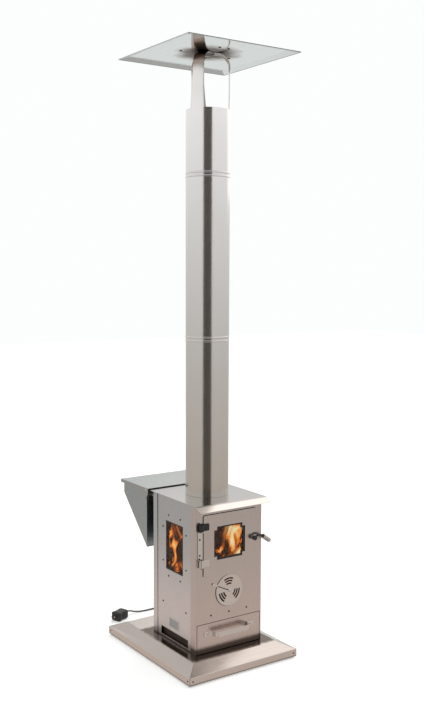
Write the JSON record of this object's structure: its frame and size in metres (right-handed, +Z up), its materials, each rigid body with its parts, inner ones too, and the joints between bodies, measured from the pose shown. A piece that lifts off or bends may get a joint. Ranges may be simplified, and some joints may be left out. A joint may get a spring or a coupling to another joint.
{
  "type": "pellet patio heater",
  "caption": "Freestanding pellet-fed patio stove: windowed square firebox on a bevelled floor plinth, rear hopper with hinged lid, sectional round flue and a square heat deflector on top.",
  "frame": {"origin": "on the floor under the middle of the bounding box, without the mains lead", "axes": "+Z up; the door and the ash drawer face -Y and the hopper is towards +Y"},
  "size_m": [0.45, 0.7034, 2.0955],
  "materials": {
    "plinth_steel": "satin stainless, brushed along each side",
    "front_steel": "satin stainless, fine vertical brushing",
    "side_steel": "satin stainless, fine vertical brushing",
    "inner_steel": "heat-darkened stainless",
    "top_steel": "bright satin stainless",
    "hopper_steel": "satin stainless",
    "lid_steel": "bright satin stainless",
    "flue_steel": "bright annealed stainless, faintly heat tinted",
    "deflector_steel": "polished stainless",
    "bright_steel": "bright brushed stainless",
    "black_metal": "black high-temperature paint",
    "cast_iron": "raw cast iron with soot",
    "glass": "heat-resistant glass, faintly smoked",
    "rubber": "matte black rubber",
    "cord": "dark grey cable sheath",
    "plug_plastic": "matte black moulded plastic",
    "contact_metal": "nickel-plated contacts"
  },
  "bodies": {
    "frame": {"base_plinth": "plinth_steel", "base_gusset_front_left": "plinth_steel", "base_gusset_front_right": "plinth_steel", "base_gusset_rear_left": "plinth_steel", "base_gusset_rear_right": "plinth_steel", "foot_front_left": "rubber", "foot_front_right": "rubber", "foot_rear_left": "rubber", "foot_rear_right": "rubber", "front_sheet": "front_steel", "rear_sheet": "side_steel", "side_sheet_left": "side_steel", "side_sheet_right": "side_steel", "side_glass_left": "glass", "side_glass_right": "glass", "glass_retainer_left": "inner_steel", "glass_retainer_right": "inner_steel", "floor_plate": "inner_steel", "firebox_shelf": "inner_steel", "burn_pot": "cast_iron", "top_plate": "top_steel", "flue_collar": "inner_steel", "igniter_housing": "black_metal", "hinge_plate": "bright_steel", "air_register_rivet": "bright_steel", "hopper_shell": "hopper_steel", "lid_pin_left": "bright_steel", "lid_pin_right": "bright_steel", "feed_neck": "black_metal", "hopper_hanger_left": "bright_steel", "hopper_hanger_right": "bright_steel", "flue_lower": "flue_steel", "flue_middle": "flue_steel", "flue_upper": "flue_steel", "heat_deflector": "deflector_steel", "cord_gland": "rubber", "cord_lead": "cord", "cord_coil": "cord", "cord_run": "cord", "plug_body": "plug_plastic", "plug_blade_left": "contact_metal", "plug_blade_right": "contact_metal", "plug_earth_pin": "contact_metal"},
    "door": {"door_panel": "front_steel", "door_glass": "glass", "door_glass_retainer": "inner_steel", "hinge_arm_upper": "black_metal", "hinge_arm_lower": "bright_steel", "hinge_pin_upper": "black_metal", "hinge_pin_lower": "black_metal"},
    "latch": {"latch_shaft": "bright_steel", "latch_tongue": "bright_steel", "handle_arm": "black_metal", "handle_grip": "bright_steel"},
    "air_register": {"air_register_disc": "bright_steel"},
    "ash_drawer": {"ash_tray": "inner_steel", "drawer_front": "front_steel", "drawer_handle": "bright_steel"},
    "lid": {"hopper_lid": "lid_steel"}
  },
  "joints": [
    {"name": "door_swing", "type": "hinge", "parent": "frame", "child": "door", "pos_m": [-0.121, -0.2081, 0.434], "axis": [0, 0, -1], "range_deg": [0, 110]},
    {"name": "latch_turn", "type": "hinge", "parent": "door", "child": "latch", "pos_m": [0.0976, -0.2125, 0.4314], "axis": [0, 1, 0], "range_deg": [0, 90]},
    {"name": "register_turn", "type": "hinge", "parent": "frame", "child": "air_register", "pos_m": [0, -0.2, 0.26], "axis": [0, 1, 0], "range_deg": [-55, 0]},
    {"name": "drawer_slide", "type": "slide", "parent": "frame", "child": "ash_drawer", "axis": [0, -1, 0], "range_m": [0, 0.2]},
    {"name": "lid_swing", "type": "hinge", "parent": "frame", "child": "lid", "pos_m": [0, 0.1075, 0.57], "axis": [1, 0, 0], "range_deg": [0, 95]}
  ]
}
